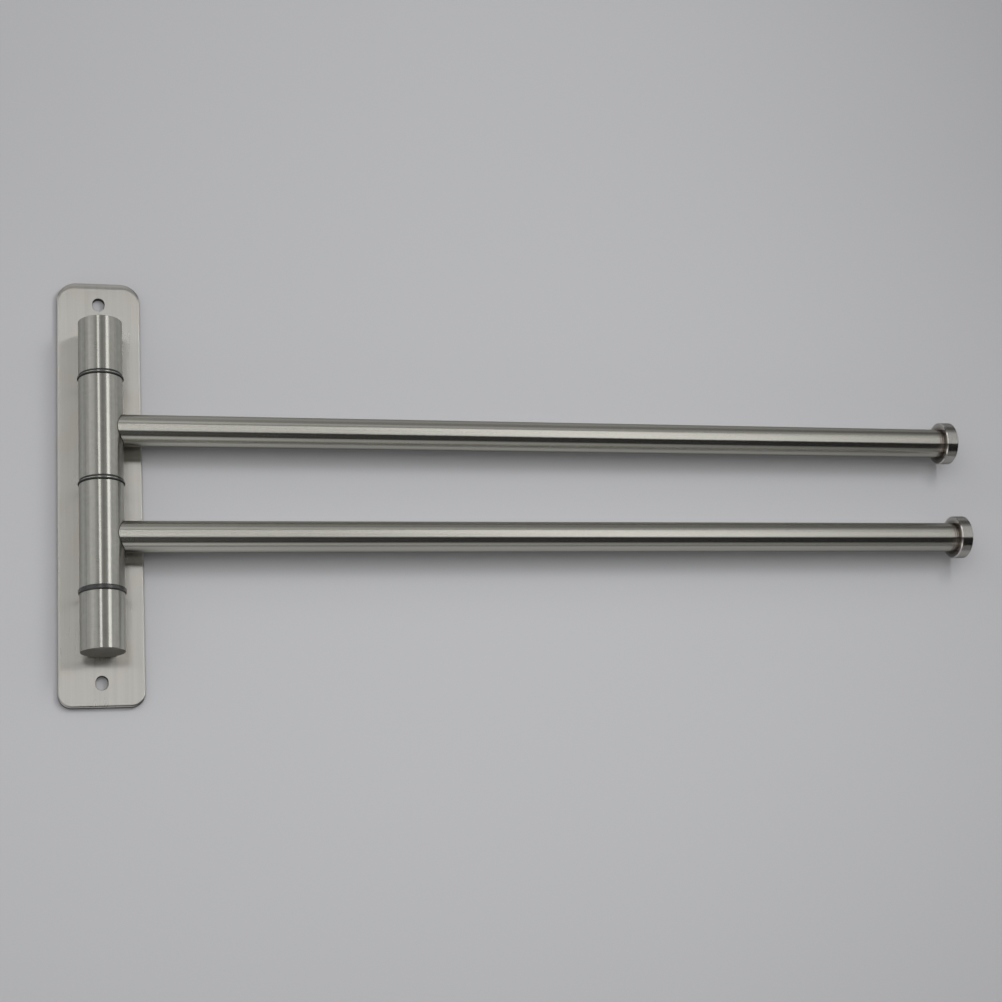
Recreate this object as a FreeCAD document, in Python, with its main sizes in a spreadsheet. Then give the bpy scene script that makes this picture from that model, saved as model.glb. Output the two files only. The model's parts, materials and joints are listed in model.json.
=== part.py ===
"""Swing-arm towel rack: a wall plate, a fixed column in front of it and two bars that swing on the column.

Millimetres. +Z runs up the column, +X along the bars as they rest against the wall, and the room is on the -Y side.
The origin is the middle of the plate's rear face, the face that lies on the wall.
"""

import FreeCAD
import Part
import Sketcher
import os
import re

# Driving dimensions: name, value in millimetres, meaning.
SIZES = (
    ("plate_width", "42", "back plate, across"),
    ("plate_height", "224", "back plate, top to bottom"),
    ("plate_thickness", "3", "back plate sheet"),
    ("plate_top_radius", "10", "rounding of the two top corners"),
    ("plate_bottom_radius", "7", "rounding of the two bottom corners"),
    ("plate_edge_radius", "2.4", "softening of the front rim"),
    ("wall_slot_margin", "12", "middle of a wall screw slot to the plate's end"),
    ("wall_slot_width", "6", "wall screw slot, across"),
    ("wall_slot_length", "7", "wall screw slot, end to end"),
    ("column_diameter", "22", "posts and sleeves, outside"),
    ("column_gap", "1.5", "between the plate's front and the column"),
    ("column_drop", "1.5", "middle of the column below the middle of the plate"),
    ("column_edge_break", "0.25", "chamfer on the ends of posts and sleeves"),
    ("post_length", "29", "each fixed post"),
    ("post_end_wall", "5", "solid end that closes a post"),
    ("sleeve_length", "53.5", "each turning sleeve"),
    ("sleeve_wall", "2", "sleeve tube"),
    ("spindle_diameter", "10", "rod inside the column"),
    ("spindle_edge_break", "0.6", "chamfer on the ends of the rod"),
    ("bush_length", "14", "each nylon bush"),
    ("bush_clearance", "0.05", "running gap of a bush on the rod, radial"),
    ("end_play", "0.1", "free height of a sleeve between its washers"),
    ("washer_clearance", "0.15", "gap of a washer on the rod, radial"),
    ("nylon_washer_thickness", "0.8", "thin black washer"),
    ("steel_washer_thickness", "0.6", "bright washer between the black ones"),
    ("washer_setback", "0.1", "upper black washer inside the column's outline"),
    ("washer_lip", "0.6", "lower black washer outside the column's outline"),
    ("friction_washer_thickness", "2.4", "thick black washer under the lower sleeve"),
    ("friction_washer_lip", "0.7", "thick washer outside the column's outline"),
    ("saddle_width", "14", "spacer between post and plate, across"),
    ("saddle_wrap", "2", "how far the spacer reaches round the post"),
    ("saddle_setback", "0.5", "spacer short of the post at each end"),
    ("post_screw_diameter", "5", "post screw shank"),
    ("post_screw_head", "9.2", "post screw head, across"),
    ("post_screw_recess", "0.2", "screw head below the plate's rear face"),
    ("post_screw_bite", "3", "screw end inside the rod"),
    ("post_screw_tip_break", "0.5", "chamfer on the screw's end"),
    ("post_screw_clearance", "0.25", "gap round the shank in plate and spacer, radial"),
    ("socket_width", "3.2", "hexagon socket, across corners"),
    ("socket_depth", "1.8", "hexagon socket"),
    ("bar_diameter", "16", "towel bar, outside"),
    ("bar_wall", "1.2", "towel bar tube"),
    ("bar_reach", "475", "column axis to the outer face of an end cap"),
    ("cap_diameter", "23.5", "end cap disc"),
    ("cap_thickness", "7", "end cap disc"),
    ("cap_edge_break", "0.5", "chamfer on the disc's two rims"),
    ("spigot_length", "9", "end cap plug inside the tube"),
    ("spigot_clearance", "0.05", "plug in the tube, radial"),
    ("spigot_edge_break", "0.8", "chamfer on the plug's end"),
    ("cut_overrun", "2", "how far a cutting tool passes the faces it cuts"),
)
FULL_TURN = 360

# Places worked out from those dimensions. The column stacks up from its bottom end.
COLUMN_RADIUS = "column_diameter / 2"
PLATE_FRONT = "(-plate_thickness)"
AXIS_Y = f"(-plate_thickness - column_gap - {COLUMN_RADIUS})"
WASHER_STACK = "(2 * nylon_washer_thickness + steel_washer_thickness)"
TURNING_LENGTH = f"(2 * sleeve_length + 2 * end_play + 2 * {WASHER_STACK} + friction_washer_thickness)"
COLUMN_LENGTH = f"(2 * post_length + {TURNING_LENGTH})"
COLUMN_BOTTOM = f"(-column_drop - {COLUMN_LENGTH} / 2)"
LOWER_POST_TOP = f"({COLUMN_BOTTOM} + post_length)"
LOWER_SLEEVE_BOTTOM = f"({LOWER_POST_TOP} + friction_washer_thickness)"
LOWER_SLEEVE_TOP = f"({LOWER_SLEEVE_BOTTOM} + sleeve_length)"
MIDDLE_JOINT = f"({LOWER_SLEEVE_TOP} + end_play)"
UPPER_SLEEVE_BOTTOM = f"({MIDDLE_JOINT} + {WASHER_STACK})"
UPPER_SLEEVE_TOP = f"({UPPER_SLEEVE_BOTTOM} + sleeve_length)"
TOP_JOINT = f"({UPPER_SLEEVE_TOP} + end_play)"
UPPER_POST_BOTTOM = f"({TOP_JOINT} + {WASHER_STACK})"
POST_SCREW_LENGTH = (
    f"(plate_thickness + column_gap + {COLUMN_RADIUS} - spindle_diameter / 2 + post_screw_bite - post_screw_recess)"
)

doc = FreeCAD.newDocument("swing_arm_towel_rack")
sheet = doc.addObject("Spreadsheet::Sheet", "Sizes")
pieces = []

UPRIGHT = FreeCAD.Rotation()
UPSIDE_DOWN = FreeCAD.Rotation(FreeCAD.Vector(1, 0, 0), 180)
ALONG_X = FreeCAD.Rotation(FreeCAD.Vector(0, 1, 0), 90)
INTO_ROOM = FreeCAD.Rotation(FreeCAD.Vector(1, 0, 0), 90)


def fill_sheet():
    """Writes the driving dimensions, one to a row, with their names as aliases."""
    for row, (alias, value, meaning) in enumerate(SIZES, start=1):
        sheet.set(f"A{row}", alias)
        sheet.set(f"B{row}", value)
        sheet.set(f"C{row}", meaning)
        sheet.setAlias(f"B{row}", alias)
    doc.recompute()


def bound(text):
    """An expression on dimension names, as the document reads it."""
    return re.sub(r"[a-z]+(?:_[a-z]+)+", r"Sizes.\g<0>", text)


def worth(text):
    """What an expression on dimension names comes to now."""
    return float(sheet.evalExpression(bound(text)))


def place(item, rotation, x="0", y="0", z="0"):
    """Turns an object and binds its position."""
    item.Placement = FreeCAD.Placement(FreeCAD.Vector(worth(x), worth(y), worth(z)), rotation)
    for axis, text in (("x", x), ("y", y), ("z", z)):
        item.setExpression(f"Placement.Base.{axis}", bound(text))
    return item


def pin_corner(sketch, line, kind, text, axis):
    """Binds one coordinate of a line's first point, or lays the point on the sketch's axis where it is zero."""
    if text == "0":
        sketch.addConstraint(Sketcher.Constraint("PointOnObject", line, 1, axis))
        return
    number = sketch.addConstraint(Sketcher.Constraint(kind, -1, 1, line, 1, worth(text)))
    sketch.setExpression(f"Constraints[{number}]", bound(text))


def outline(body, name, corners):
    """A closed outline of straight lines on the body's XZ plane, each corner bound to two expressions."""
    sketch = body.newObject("Sketcher::SketchObject", name)
    plane = next(item for item in body.Origin.OriginFeatures if item.Role == "XZ_Plane")
    sketch.AttachmentSupport = [(plane, "")]
    sketch.MapMode = "FlatFace"
    points = [FreeCAD.Vector(worth(across), worth(up), 0) for across, up in corners]
    for line, start in enumerate(points):
        sketch.addGeometry(Part.LineSegment(start, points[(line + 1) % len(points)]), False)
    for line in range(len(points)):
        sketch.addConstraint(Sketcher.Constraint("Coincident", line, 2, (line + 1) % len(points), 1))
    for line, (across, up) in enumerate(corners):
        pin_corner(sketch, line, "DistanceX", across, -2)
        pin_corner(sketch, line, "DistanceY", up, -1)
    return sketch


def turned(name, corners):
    """A body turned about its own Z axis from an outline of radius and height."""
    body = doc.addObject("PartDesign::Body", name)
    sketch = outline(body, f"{name}_outline", corners)
    turn = body.newObject("PartDesign::Revolution", f"{name}_turn")
    turn.Profile = sketch
    turn.ReferenceAxis = (sketch, ["V_Axis"])
    turn.Angle = FULL_TURN
    return body


def ring(name, inner, outer, height, chamfer=None):
    """A turned ring, with its outer edges broken where a chamfer is named."""
    if chamfer is None:
        return turned(name, ((inner, "0"), (outer, "0"), (outer, height), (inner, height)))
    narrow = f"{outer} - {chamfer}"
    return turned(name, (
        (inner, "0"), (narrow, "0"), (outer, chamfer), (outer, f"{height} - {chamfer}"), (narrow, height),
        (inner, height),
    ))


def cylinder(name, radius, length):
    """A plain cylinder on its own Z axis."""
    item = doc.addObject("Part::Cylinder", name)
    item.setExpression("Radius", bound(radius))
    item.setExpression("Height", bound(length))
    return item


def cut(name, base, tools):
    """The base with its tools taken away."""
    tool = tools[0]
    if len(tools) > 1:
        tool = doc.addObject("Part::MultiFuse", f"{name}_tools")
        tool.Shapes = tools
    result = doc.addObject("Part::Cut", f"{name}_cut")
    result.Base = base
    result.Tool = tool
    return result


def piece(label, item):
    """Names a finished piece and keeps it for writing."""
    item.Label = label
    pieces.append(item)


def round_edges(body, name, radius, chosen):
    """Rounds the edges of the body's last feature that the test chooses."""
    doc.recompute()
    base = body.Tip
    edges = [f"Edge{number}" for number, edge in enumerate(base.Shape.Edges, start=1) if chosen(edge)]
    fillet = body.newObject("PartDesign::Fillet", name)
    fillet.Base = (base, edges)
    fillet.setExpression("Radius", bound(radius))


def runs_through_plate(edge):
    """True for an edge that joins the plate's two faces."""
    box = edge.BoundBox
    return box.YLength > max(box.XLength, box.ZLength)


def on_front(edge):
    """True for an edge in the plate's front face."""
    middle = worth(PLATE_FRONT) / 2
    return edge.BoundBox.YMax < middle


def screw_heights():
    """Name and height of each post screw, at the middle of its post."""
    return (
        ("upper", f"({UPPER_POST_BOTTOM} + post_length / 2)"),
        ("lower", f"({COLUMN_BOTTOM} + post_length / 2)"),
    )


def post_screw_sink(name, height):
    """The tool for a countersunk clearance hole through the plate, from its rear face."""
    head = "post_screw_head / 2"
    hole = "(post_screw_diameter / 2 + post_screw_clearance)"
    depth = "plate_thickness + cut_overrun"
    sink = turned(name, (
        ("0", "0"), (head, "0"), (head, "post_screw_recess"),
        (hole, f"post_screw_recess + {head} - {hole}"), (hole, depth), ("0", depth),
    ))
    return place(sink, INTO_ROOM, z=height)


def wall_slot(name, height):
    """The tool for one upright wall screw slot."""
    radius = "wall_slot_width / 2"
    depth = "plate_thickness + 2 * cut_overrun"
    shift = "(wall_slot_length - wall_slot_width) / 2"
    ends = []
    for end, sign in (("top", "+"), ("bottom", "-")):
        tool = cylinder(f"{name}_{end}", radius, depth)
        ends.append(place(tool, INTO_ROOM, y="cut_overrun", z=f"{height} {sign} {shift}"))
    middle = doc.addObject("Part::Box", f"{name}_middle")
    middle.setExpression("Length", bound("wall_slot_width"))
    middle.setExpression("Width", bound(depth))
    middle.setExpression("Height", bound(f"2 * {shift}"))
    place(middle, UPRIGHT, x="-wall_slot_width / 2", y="-plate_thickness - cut_overrun", z=f"{height} - {shift}")
    return ends + [middle]


def back_plate():
    """Flat plate, rounded at its corners and along its front rim, with wall slots and post screw holes."""
    half = "plate_width / 2"
    top = "plate_height / 2"
    body = doc.addObject("PartDesign::Body", "plate_blank")
    sketch = outline(body, "plate_outline", (
        (f"-{half}", f"-{top}"), (half, f"-{top}"), (half, top), (f"-{half}", top),
    ))
    pad = body.newObject("PartDesign::Pad", "plate_pad")
    pad.Profile = sketch
    pad.setExpression("Length", bound("plate_thickness"))
    round_edges(body, "plate_top_corners", "plate_top_radius",
                lambda edge: runs_through_plate(edge) and edge.BoundBox.ZMin > 0)
    round_edges(body, "plate_bottom_corners", "plate_bottom_radius",
                lambda edge: runs_through_plate(edge) and edge.BoundBox.ZMax < -worth("plate_height / 4"))
    round_edges(body, "plate_rim", "plate_edge_radius", on_front)
    slot_height = f"({top} - wall_slot_margin)"
    tools = wall_slot("upper_slot", slot_height) + wall_slot("lower_slot", f"-{slot_height}")
    for side, height in screw_heights():
        tools.append(post_screw_sink(f"{side}_screw_sink", height))
    piece("back_plate", cut("back_plate", body, tools))


def posts():
    """Fixed ends of the column: round bars bored from the inner end for the rod, with a screw hole behind."""
    bore = "spindle_diameter / 2"
    chamfer = "column_edge_break"
    narrow = f"{COLUMN_RADIUS} - {chamfer}"
    corners = (
        (bore, "0"), (narrow, "0"), (COLUMN_RADIUS, chamfer), (COLUMN_RADIUS, f"post_length - {chamfer}"),
        (narrow, "post_length"), ("0", "post_length"), ("0", "post_length - post_end_wall"),
        (bore, "post_length - post_end_wall"),
    )
    stands = {"upper": (UPRIGHT, UPPER_POST_BOTTOM), "lower": (UPSIDE_DOWN, LOWER_POST_TOP)}
    for side, height in screw_heights():
        rotation, inner_end = stands[side]
        blank = place(turned(f"{side}_post_blank", corners), rotation, y=AXIS_Y, z=inner_end)
        thread = cylinder(f"{side}_post_thread", "post_screw_diameter / 2", f"-{AXIS_Y}")
        place(thread, INTO_ROOM, z=height)
        piece(f"{side}_post", cut(f"{side}_post", blank, [thread]))


def saddles():
    """Spacers between posts and plate, hollowed to the post's round, each with a clearance hole for its screw."""
    for side, height in screw_heights():
        block = doc.addObject("Part::Box", f"{side}_saddle_block")
        block.setExpression("Length", bound("saddle_width"))
        block.setExpression("Width", bound("column_gap + saddle_wrap"))
        block.setExpression("Height", bound("post_length - 2 * saddle_setback"))
        place(block, UPRIGHT, x="-saddle_width / 2", y=f"{PLATE_FRONT} - column_gap - saddle_wrap",
              z=f"{height} - post_length / 2 + saddle_setback")
        hollow = cylinder(f"{side}_saddle_hollow", COLUMN_RADIUS, "post_length")
        place(hollow, UPRIGHT, y=AXIS_Y, z=f"{height} - post_length / 2")
        hole = cylinder(f"{side}_saddle_hole", "post_screw_diameter / 2 + post_screw_clearance", f"-{AXIS_Y}")
        place(hole, INTO_ROOM, z=height)
        piece(f"{side}_post_saddle", cut(f"{side}_post_saddle", block, [hollow, hole]))


def post_screws():
    """Countersunk screws with a hexagon socket, from behind the plate through spacer and post into the rod."""
    head = "post_screw_head / 2"
    shank = "post_screw_diameter / 2"
    chamfer = "post_screw_tip_break"
    for side, height in screw_heights():
        blank = turned(f"{side}_screw_blank", (
            ("0", "0"), (head, "0"), (shank, f"{head} - {shank}"), (shank, f"{POST_SCREW_LENGTH} - {chamfer}"),
            (f"{shank} - {chamfer}", POST_SCREW_LENGTH), ("0", POST_SCREW_LENGTH),
        ))
        place(blank, INTO_ROOM, y="-post_screw_recess", z=height)
        socket = doc.addObject("Part::Prism", f"{side}_screw_socket")
        socket.Polygon = 6
        socket.setExpression("Circumradius", bound("socket_width / 2"))
        socket.setExpression("Height", bound("socket_depth + cut_overrun"))
        place(socket, INTO_ROOM, y="cut_overrun - post_screw_recess", z=height)
        piece(f"{side}_post_screw", cut(f"{side}_post_screw", blank, [socket]))


def spindle():
    """Rod from the closed end of one post to that of the other, drilled for the two screw ends."""
    radius = "spindle_diameter / 2"
    length = f"({COLUMN_LENGTH} - 2 * post_end_wall)"
    chamfer = "spindle_edge_break"
    rod = turned("spindle_rod", (
        ("0", "0"), (f"{radius} - {chamfer}", "0"), (radius, chamfer), (radius, f"{length} - {chamfer}"),
        (f"{radius} - {chamfer}", length), ("0", length),
    ))
    place(rod, UPRIGHT, y=AXIS_Y, z=f"{COLUMN_BOTTOM} + post_end_wall")
    tools = []
    for side, height in screw_heights():
        drill = cylinder(f"{side}_spindle_drill", "post_screw_diameter / 2",
                         f"{POST_SCREW_LENGTH} + post_screw_recess + post_screw_clearance")
        tools.append(place(drill, INTO_ROOM, z=height))
    piece("spindle", cut("spindle", rod, tools))


def washers():
    """Black, bright and black washers at the top and middle joints, and the thick one at the bottom joint."""
    inner = "(spindle_diameter / 2 + washer_clearance)"
    for joint, level in (("middle", MIDDLE_JOINT), ("top", TOP_JOINT)):
        stack = (
            ("lower_nylon_washer", f"({COLUMN_RADIUS} + washer_lip)", "nylon_washer_thickness", "0"),
            ("steel_washer", COLUMN_RADIUS, "steel_washer_thickness", "nylon_washer_thickness"),
            ("upper_nylon_washer", f"({COLUMN_RADIUS} - washer_setback)", "nylon_washer_thickness",
             "nylon_washer_thickness + steel_washer_thickness"),
        )
        for name, outer, thickness, rise in stack:
            washer = ring(f"{joint}_{name}_ring", inner, outer, thickness)
            piece(f"{joint}_{name}", place(washer, UPRIGHT, y=AXIS_Y, z=f"{level} + {rise}"))
    thick = ring("friction_washer_ring", inner, f"({COLUMN_RADIUS} + friction_washer_lip)",
                 "friction_washer_thickness")
    piece("bottom_friction_washer", place(thick, UPRIGHT, y=AXIS_Y, z=LOWER_POST_TOP))


def arm(side, sleeve_bottom):
    """One swinging arm: sleeve with two bushes, notched bar and end cap."""
    sleeve_bore = f"({COLUMN_RADIUS} - sleeve_wall)"
    sleeve = ring(f"{side}_sleeve_tube", sleeve_bore, COLUMN_RADIUS, "sleeve_length", "column_edge_break")
    piece(f"{side}_sleeve", place(sleeve, UPRIGHT, y=AXIS_Y, z=sleeve_bottom))

    running = "(spindle_diameter / 2 + bush_clearance)"
    for end, rise in (("bottom", "0"), ("top", "(sleeve_length - bush_length)")):
        bush = ring(f"{side}_{end}_bush_ring", running, sleeve_bore, "bush_length")
        piece(f"{side}_sleeve_{end}_bush", place(bush, UPRIGHT, y=AXIS_Y, z=f"{sleeve_bottom} + {rise}"))

    level = f"({sleeve_bottom} + sleeve_length / 2)"
    length = "(bar_reach - cap_thickness)"
    tube = place(cylinder(f"{side}_bar_outside", "bar_diameter / 2", length), ALONG_X, y=AXIS_Y, z=level)
    inside = place(cylinder(f"{side}_bar_inside", "bar_diameter / 2 - bar_wall", length), ALONG_X, y=AXIS_Y, z=level)
    notch = cylinder(f"{side}_bar_notch", COLUMN_RADIUS, "bar_diameter + 2 * cut_overrun")
    place(notch, UPRIGHT, y=AXIS_Y, z=f"{level} - bar_diameter / 2 - cut_overrun")
    piece(f"{side}_bar", cut(f"{side}_bar", tube, [inside, notch]))

    plug = "(bar_diameter / 2 - bar_wall - spigot_clearance)"
    disc = "cap_diameter / 2"
    outer_face = "spigot_length + cap_thickness"
    cap = turned(f"{side}_cap_turning", (
        ("0", "0"), (f"{plug} - spigot_edge_break", "0"), (plug, "spigot_edge_break"), (plug, "spigot_length"),
        (f"{disc} - cap_edge_break", "spigot_length"), (disc, "spigot_length + cap_edge_break"),
        (disc, f"{outer_face} - cap_edge_break"), (f"{disc} - cap_edge_break", outer_face), ("0", outer_face),
    ))
    piece(f"{side}_end_cap", place(cap, ALONG_X, x="bar_reach - cap_thickness - spigot_length", y=AXIS_Y, z=level))


def refuse_faults():
    """Stops before anything is written if an object failed or a piece isn't one valid solid."""
    for item in doc.Objects:
        if {"Invalid", "Error"} & set(item.State):
            raise RuntimeError(f"{item.Label} failed: {item.State}")
    for item in pieces:
        if item.Shape.isNull() or not item.Shape.isValid() or len(item.Shape.Solids) != 1:
            raise RuntimeError(f"{item.Label} is not one valid solid")


def write_pieces():
    """Writes each piece to a file of its own name."""
    os.makedirs("parts", exist_ok=True)
    for item in pieces:
        item.Shape.exportStep(f"parts/{item.Label}.step")


fill_sheet()
back_plate()
posts()
saddles()
post_screws()
spindle()
washers()
arm("upper", UPPER_SLEEVE_BOTTOM)
arm("lower", LOWER_SLEEVE_BOTTOM)
doc.recompute()
refuse_faults()
write_pieces()
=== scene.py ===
"""Dresses a swing-arm towel rack in brushed steel and shows it on a pale wall.

Metres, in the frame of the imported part: +Z up the column, +X along the bars at rest, the room on the
-Y side. The origin is the middle of the plate's rear face.
"""

import json
import math

import bmesh
import bpy
from bpy.props import FloatProperty, FloatVectorProperty, IntProperty, PointerProperty
from mathutils import Matrix, Vector


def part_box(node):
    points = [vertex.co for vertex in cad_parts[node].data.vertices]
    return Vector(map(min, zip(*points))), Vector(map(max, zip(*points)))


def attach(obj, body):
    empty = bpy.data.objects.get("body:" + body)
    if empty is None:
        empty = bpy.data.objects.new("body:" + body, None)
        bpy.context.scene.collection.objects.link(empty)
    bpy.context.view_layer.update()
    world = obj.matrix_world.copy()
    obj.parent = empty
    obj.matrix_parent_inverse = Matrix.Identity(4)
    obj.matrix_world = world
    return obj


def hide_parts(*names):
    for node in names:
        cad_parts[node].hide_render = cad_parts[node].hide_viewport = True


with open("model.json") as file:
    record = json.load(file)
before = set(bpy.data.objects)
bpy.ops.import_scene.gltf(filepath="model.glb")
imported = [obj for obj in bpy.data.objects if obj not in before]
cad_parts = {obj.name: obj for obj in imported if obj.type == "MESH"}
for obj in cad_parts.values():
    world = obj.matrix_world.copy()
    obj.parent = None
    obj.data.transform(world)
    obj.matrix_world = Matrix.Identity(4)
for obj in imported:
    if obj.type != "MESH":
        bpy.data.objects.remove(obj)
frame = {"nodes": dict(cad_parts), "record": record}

bl_info = {
    "name": "Swing-arm towel rack",
    "version": (1, 0, 0),
    "blender": (4, 5, 0),
    "location": "3D View > Sidebar > Towel rack",
    "description": "Builds the visible pieces of a swing-arm towel rack and the wall it is shown on",
    "category": "Object",
}

MM = 0.001
DEGREES_PER_RADIAN = 180 / math.pi
SIDES = ("upper", "lower")

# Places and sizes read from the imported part
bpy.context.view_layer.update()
PLATE_LOW, PLATE_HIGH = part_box("back_plate")
PLATE_FRONT = PLATE_LOW.y
PLATE_REAR = PLATE_HIGH.y
POST_LOW, POST_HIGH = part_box("upper_post")
COLUMN_RADIUS = (POST_HIGH.x - POST_LOW.x) / 2
COLUMN_Y = (POST_LOW.y + POST_HIGH.y) / 2
BAR_LOW, BAR_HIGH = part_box("upper_bar")
BAR_RADIUS = (BAR_HIGH.z - BAR_LOW.z) / 2
BAR_END = BAR_HIGH.x
WALL_SCREWS = next(
    mount["dims"] for mount in frame["record"]["mounts"] if mount["name"] == "wall_screws")

# Local Z of a bar or a cap runs along the world's +X, its local X along +Y and its local Y along +Z
ALONG_BAR = Matrix(((0, 0, 1, 0), (1, 0, 0, 0), (0, 1, 0, 0), (0, 0, 0, 1)))

# Grain of the finishes: noise per metre along x, y and z
PLATE_FINE_GRAIN = (2600, 2600, 40)
PLATE_BROAD_GRAIN = (500, 500, 6)
POLISHED_STREAKS = (1100, 1100, 5)
SHEARED_STREAKS = (1500, 200, 1500)
# Fine rings round a piece: noise per metre along its axis, or outwards on a face
POLISHED_RINGS = 3200
CAP_RINGS = 2600
ROD_RINGS = 2500
# Height of the ridges that these leave
BRUSHED_RIDGE = 0.02 * MM
TURNED_RIDGE = 0.03 * MM
FORGED_RIDGE = 0.05 * MM
MOULDED_RIDGE = 0.03 * MM
# Direction in which a finish draws reflections out, as a share of a turn
UPRIGHT = 0.0
CROSSWISE = 0.25

# Heat marks on a bar, by the distance from its cap
STRAW_TINT = (1.8 * MM, 3.2 * MM)
OUTER_HEAT_LINE = (1.9 * MM, 2.3 * MM)
INNER_HEAT_LINE = (0.5 * MM, 1.1 * MM)
HEAT_LINE_SOFTNESS = 0.2 * MM
HEAT_WANDER = 0.8 * MM
# Where the painted shade on a bar lifts, by the same distance: darkest at the cap, lightest near the
# column
CAP_PAINTED_SHADE = (25 * MM, 120 * MM)
COLUMN_PAINTED_LIGHT = (340 * MM, 450 * MM)
# Scorched ring on a cap's inner face, deepened as painted shade beside the bar, by the distance from the
# bar, and its reach into the cap
SCORCH_SHADE_RING = (0.6 * MM, 2.4 * MM)
SCORCH_SHADE_WANDER = 1.0 * MM
SCORCH_SHADE_DEPTH = (0.2 * MM, 0.6 * MM)

# Where painted shade deepens the wall's paint, to the right and upwards, standing in for light that falls
# off
WALL_PAINTED_SHADE_X = (0.15, 0.95)
WALL_PAINTED_SHADE_Z = (-0.25, 0.25)

# Level of the room by bearing, in degrees from the left wall round the front to the right wall
ROOM_ROUND = (
    (-90, 0.48), (-70, 0.53), (-60, 0.78), (-46, 0.76), (-33, 0.58), (-24, 0.37), (-4, 0.33),
    (10, 0.32), (24, 0.38), (46, 0.66), (60, 0.65), (72, 0.58), (90, 0.49),
)
# Level of the room high and low, where the bearing no longer matters
ROOM_STEEP = 0.36
# Share of these levels by height, in degrees from below round the front to above
ROOM_UP = (
    (-90, 0.3), (-80, 1.2), (-72, 1.5), (-61, 1.15), (-57, 0.0), (-19, 0.08), (-14, 1.0),
    (33, 1.0), (35, 0.7), (40, 0.9), (48, 1.75), (57, 1.9), (63, 1.0), (90, 0.95),
)
# Upright part of a direction, from where the bearing counts to where it no longer does
ROOM_HIGH = (0.5, 0.75)
ROOM_LOW = (-0.5, -0.2)
# Sideways part of a direction where the room darkens high and low, and where its floor is open
ROOM_RIGHT = (0.2, 0.58)
ROOM_LEFT = (-0.6, -0.25)
ROOM_FLOOR = (-0.45, -0.12)
# Light lost in the dark corners, as shares, and the share added by the open floor
LOST_HIGH_RIGHT = 0.95
LOST_LOW_RIGHT = 0.97
LOST_HIGH_LEFT = 0.8
FLOOR_LIGHT = 1.3
# Inward part of a direction that passes from the room to what lies beyond the wall
ROOM_END = (-0.02, 0.02)


# Settings

def metres(name, description, default):
    """A length."""
    return FloatProperty(name=name, description=description, default=default, unit="LENGTH")


def degrees(name, description, default):
    """An angle, given in degrees."""
    return FloatProperty(
        name=name, description=description, default=math.radians(default), subtype="ANGLE")


def fraction(name, description, default):
    """A share from 0 to 1."""
    return FloatProperty(
        name=name, description=description, default=default, min=0, max=1, subtype="FACTOR")


def radiance(name, description, default):
    """The brightness of a light."""
    return FloatProperty(name=name, description=description, default=default, min=0)


def face_count(name, description, default, least):
    """A number of faces."""
    return IntProperty(name=name, description=description, default=default, min=least)


def opaque(name, description, *rgb):
    """A colour that lets nothing through."""
    return FloatVectorProperty(
        name=name, description=description, default=(*rgb, 1), size=4, subtype="COLOR")


def spot(name, description, *place):
    """A point in metres."""
    return FloatVectorProperty(
        name=name, description=description, default=place, subtype="TRANSLATION")


class RackShape(bpy.types.PropertyGroup):
    """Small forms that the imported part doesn't give"""

    plate_top_corner: metres("Top corners", "Rounding of the plate's two top corners", 0.010)
    plate_bottom_corner: metres("Bottom corners", "Rounding of its two bottom corners", 0.007)
    plate_top_rim: metres("Top rim", "Width of the rounding along the plate's top", 0.0034)
    plate_bottom_rim: metres("Bottom rim", "Width of the rounding along its bottom", 0.0011)
    plate_side_rim: metres("Side rims", "Width of the rounding along its sides", 0.0009)
    plate_rim_fall: metres("Rim fall", "How far these roundings fall back", 0.0006)
    plate_rear_break: metres("Rear edge", "Broken edge round the plate's rear face", 0.0002)
    plate_margin: metres("Flat margin", "Flat ring between a rounding and the face", 0.0003)
    slot_deburr: metres("Slot deburr", "Chamfer round the wall slots", 0.00015)
    screw_head: metres("Screw seat", "Countersink of a post screw, across", 0.0092)
    screw_recess: metres("Screw recess", "Straight part of that countersink", 0.0002)
    screw_hole: metres("Screw hole", "Clearance hole of a post screw, across", 0.0055)
    column_edge: metres("Column edges", "Rounding on the ends of posts and sleeves", 0.0003)
    bore: metres("Post bore", "Bore of posts and washers for the rod, across", 0.010)
    post_end: metres("Post end", "Solid end that closes a post", 0.005)
    sleeve_wall: metres("Sleeve wall", "Wall of a turning sleeve", 0.002)
    sleeve_clearance: metres("Sleeve clearance", "Clearance at each end of a sleeve", 0.00002)
    washer_edge: metres("Washer edges", "Rounding on a thin washer's rim", 0.0002)
    friction_washer_edge: metres("Thick washer edges", "Rounding on its rim", 0.0006)
    bar_wall: metres("Bar wall", "Wall of a towel bar", 0.0012)
    bar_seam: metres("Bar seam", "Fine V left where a bar meets its sleeve", 0.0003)
    bar_end_break: metres("Bar end", "Broken edge of a bar under its cap", 0.0002)
    cap_chamfer: metres("Cap chamfer", "Chamfer on the two rims of an end cap", 0.0005)
    cap_softening: metres("Cap softening", "Rounding of the edges beside it", 0.00015)
    spigot_gap: metres("Spigot gap", "Gap between a cap's plug and its tube", 0.00005)
    turn_steps: face_count("Turn steps", "Faces round a turned piece", 144, least=24)
    edge_steps: face_count("Edge steps", "Faces across a rounded edge", 5, least=2)
    corner_steps: face_count("Corner steps", "Faces round a corner of the plate", 20, least=4)


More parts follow.
